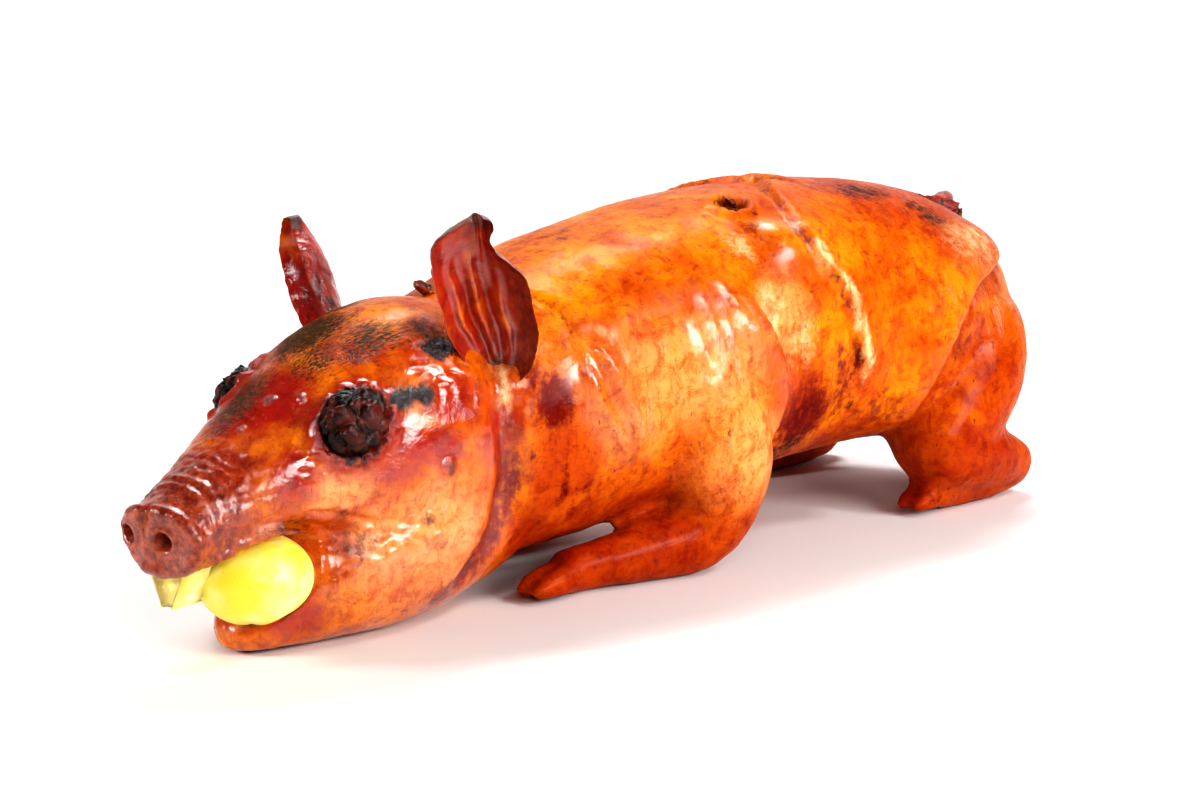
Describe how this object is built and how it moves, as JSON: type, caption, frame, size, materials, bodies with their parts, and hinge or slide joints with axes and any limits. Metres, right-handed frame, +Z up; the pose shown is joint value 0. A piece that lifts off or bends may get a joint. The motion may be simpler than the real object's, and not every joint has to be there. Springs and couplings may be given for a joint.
{
  "type": "roast suckling pig",
  "caption": "Whole roast suckling pig lying on its belly on folded legs, head forward, with prunes in the eye sockets and pieces of yellow apple in the mouth.",
  "frame": {"origin": "middle of the underside of the whole pig's bounding box, on the plane that its jaw, forelegs and hind legs rest on", "axes": "+Z up, the body along X with the snout towards -X and the tail towards +X, the pig's left side towards -Y"},
  "size_m": [0.7074, 0.2151, 0.2315],
  "materials": {
    "roast_skin": "glossy, basted, crackled golden to dark brown roasted skin",
    "prune_flesh": "moist, wrinkled, nearly black dried fruit",
    "apple_peel": "satin yellow apple peel",
    "apple_flesh": "moist, pale cream-yellow cut apple"
  },
  "bodies": {
    "root": {"pig": "roast_skin", "eye_prune_near": "prune_flesh", "eye_prune_far": "prune_flesh", "apple_chunk": "apple_peel", "apple_wedge": "apple_flesh"}
  },
  "joints": []
}
